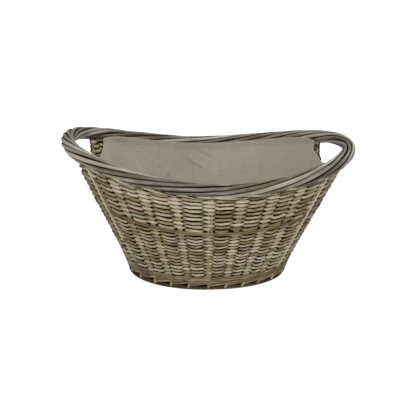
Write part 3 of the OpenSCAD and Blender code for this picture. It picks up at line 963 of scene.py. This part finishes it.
def creases(x, s):
    """How far the cloth stands in from the wall: slow billows, hanging folds and a few slanting creases."""
    hold = np.sin(np.pi * np.clip(s, 0, 1)) ** 0.7
    billow = 2.2 * wander_round(x, 501, 4) + 1.4 * wander_round(x * 2, 502, 5) * (0.4 + 0.6 * s)
    folds = np.zeros_like(x + s)
    rng = np.random.default_rng(77)
    marked = list(DEEP_CREASES)
    for i in range(SLIGHT_CREASES):
        lean = rng.normal(0, 0.035) if i % 4 else rng.choice([-1, 1]) * rng.uniform(0.10, 0.22)
        marked.append((rng.uniform(0, 1), rng.uniform(0.35, 0.95), lean, rng.uniform(0.002, 0.006),
                       rng.uniform(0.7, 2.5) * rng.choice([-0.7, 1.0]), rng.uniform(0.10, 0.34)))
    for at, mid, lean, wide, tall, reach in marked:
        off = (x - at - lean * (s - mid) + 0.5) % 1 - 0.5
        folds = folds + tall * np.exp(-np.abs(off / wide) ** 1.3) * np.exp(-((s - mid) / reach) ** 2)
    return ((2.6 + billow) * hold + folds) * MM


def cloth_band(name, shares, height, inset, thickness, *nodes):
    """A band of cloth right round the wall, with rows of points at these shares of its height."""
    tt, ss = round_grid(LINER_AROUND, shares)
    fold = np.clip(creases(tt / TURN, ss), 0, DEEPEST_FOLD) + inset
    mesh, i, j = loop_mesh(name, cloth_point(tt, ss, fold))
    u0, u1 = i / LINER_AROUND * LINER_GIRTH, (i + 1) / LINER_AROUND * LINER_GIRTH
    v0, v1 = (k / (len(shares) - 1) * height for k in (j, j + 1))
    corners = face_map((u0, v0), (u0, v1), (u1, v1), (u1, v0))
    mesh.uv_layers.new(name="cloth").data.foreach_set("uv", corners.ravel())
    piece = place(name, mesh, CLOTH, "liner_cloth", *nodes)
    thicken(piece, thickness)
    return piece


def liner_floor():
    """The oval of cloth that lies on the base, with slow waves in it."""
    floor_a, floor_b = foot_a - LINER_OUT + 6 * MM, foot_b - LINER_OUT + 6 * MM
    rings, steps = 26, 180
    t = np.linspace(0, TURN, steps, endpoint=False)
    spots = [np.array([[0.0, 0.0, base_high.z + 2.4 * MM]])]
    for share in np.linspace(0, 1, rings + 1)[1:]:
        x, y = oval(floor_a * share, floor_b * share, t).T
        wave = (0.9 * wander(x * 9, 71) + 0.7 * wander(y * 11, 72)) * np.sin(np.pi * share) ** 2
        spots.append(np.stack([x, y, base_high.z + LINER_FLOOR + (0.4 + wave) * MM], 1))
    spots = np.concatenate(spots)
    faces = [[0, 1 + k, 1 + (k + 1) % steps] for k in range(steps)]
    for q in range(rings - 1):
        for k in range(steps):
            a, b = 1 + q * steps + k, 1 + q * steps + (k + 1) % steps
            faces.append([a, a + steps, b + steps, b])
    mesh = bpy.data.meshes.new("liner_floor_cloth")
    mesh.from_pydata(spots.tolist(), [], faces)
    corners = np.concatenate(faces)
    mesh.uv_layers.new(name="cloth").data.foreach_set("uv", spots[corners, :2].ravel())
    mesh.shade_smooth()
    piece = place("liner_floor_cloth", mesh, CLOTH, "liner_cloth", "liner_floor")
    thicken(piece, CLOTH_THICK)
    return piece


def make_liner():
    """The wall and floor of the liner, and the turned-over top edge as a narrow second layer."""
    wall = cloth_band("liner_wall_cloth", np.linspace(0, 1, LINER_ROWS), LINER_HEIGHT, 0.0, CLOTH_THICK,
                      "liner_wall")
    floor = liner_floor()
    hem = cloth_band("liner_hem", np.linspace(HEM_FROM, HEM_TO, HEM_ROWS), HEM_HEIGHT, HEM_INSET, HEM_THICK)


# ---------------------------------------------------------------- floor, light and camera
FLOOR_GLOW = 0.75  # how much the floor is lifted towards white where the camera sees it
ROOM_LIGHT, ROOM_SEEN = 0.31, 0.74  # the room's own light, and what is added where the camera sees it
LAMPS = (("key", (-0.35, -2.4, 1.2), 0.7, 28), ("right", (1.7, 1.3, 1.9), 0.7, 12),
         ("top", (0.0, 0.1, 2.4), 1.0, 9))  # name, place, size in metres, power in watts
LAMPS_FACE = Vector((0, 0, 0.15))


def make_stage():
    """A pale floor, an even room and three soft lamps."""
    plane = bpy.data.meshes.new("floor")
    plane.from_pydata([(-6, -6, 0), (6, -6, 0), (6, 6, 0), (-6, 6, 0)], [], [(0, 1, 2, 3)])
    material, n, shader = principled("pale_floor")
    shader.inputs["Base Color"].default_value = (0.9, 0.9, 0.9, 1)
    shader.inputs["Roughness"].default_value = 0.9
    shader.inputs["Emission Color"].default_value = (1, 1, 1, 1)
    seen = n.add("ShaderNodeLightPath").outputs["Is Camera Ray"]
    n.join(shader, {"Emission Strength": n.maths("MULTIPLY", seen, FLOOR_GLOW)})
    plane.materials.append(material)
    floor = bpy.data.objects.new("floor", plane)
    bpy.context.scene.collection.objects.link(floor)

    world = bpy.data.worlds.new("studio")
    bpy.context.scene.world = world
    world.use_nodes = True
    background = world.node_tree.nodes["Background"]
    background.inputs[0].default_value = (1.0, 1.0, 1.0, 1)
    w = Nodes(world.node_tree)
    seen = w.add("ShaderNodeLightPath").outputs["Is Camera Ray"]
    w.join(background, {1: w.maths("ADD", w.maths("MULTIPLY", seen, ROOM_SEEN), ROOM_LIGHT)})

    for name, spot, size, power in LAMPS:
        lamp = bpy.data.lights.new(name, "AREA")
        lamp.energy, lamp.size = power, size
        light = bpy.data.objects.new(name, lamp)
        light.location = spot
        light.rotation_euler = (LAMPS_FACE - Vector(spot)).to_track_quat("-Z", "Y").to_euler()
        bpy.context.scene.collection.objects.link(light)


CAMERA_DISTANCE = 1.416
CAMERA_TURN = -6.05  # degrees round from the front, towards the left end
CAMERA_RISE = 17.1  # degrees above level
CAMERA_ROLL = 1.0  # degrees
CAMERA_TARGET = (0.0, 0.0, 0.1272)
CAMERA_LENS, CAMERA_SENSOR = 57.5, 36  # in millimetres


def make_camera():
    """A camera in front of the basket, a little to its left and above."""
    turn, rise, roll = (math.radians(v) for v in (CAMERA_TURN, CAMERA_RISE, CAMERA_ROLL))
    away = Vector((math.sin(turn) * math.cos(rise), -math.cos(turn) * math.cos(rise), math.sin(rise)))
    camera = bpy.data.objects.new("camera", bpy.data.cameras.new("camera"))
    camera.data.lens = CAMERA_LENS
    camera.data.sensor_width = CAMERA_SENSOR
    place_at = Vector(CAMERA_TARGET) + away * CAMERA_DISTANCE
    facing = (-away).to_track_quat("-Z", "Y").to_matrix().to_4x4()
    camera.matrix_world = Matrix.Translation(place_at) @ facing @ Matrix.Rotation(roll, 4, "Z")
    bpy.context.scene.collection.objects.link(camera)
    bpy.context.scene.camera = camera
    bpy.context.scene.view_settings.view_transform = "Standard"


make_camera()
make_stage()
make_foot()
make_base()
make_uprights()
make_courses()
make_wales()
make_shadow_sheet()
make_border()
make_liner()
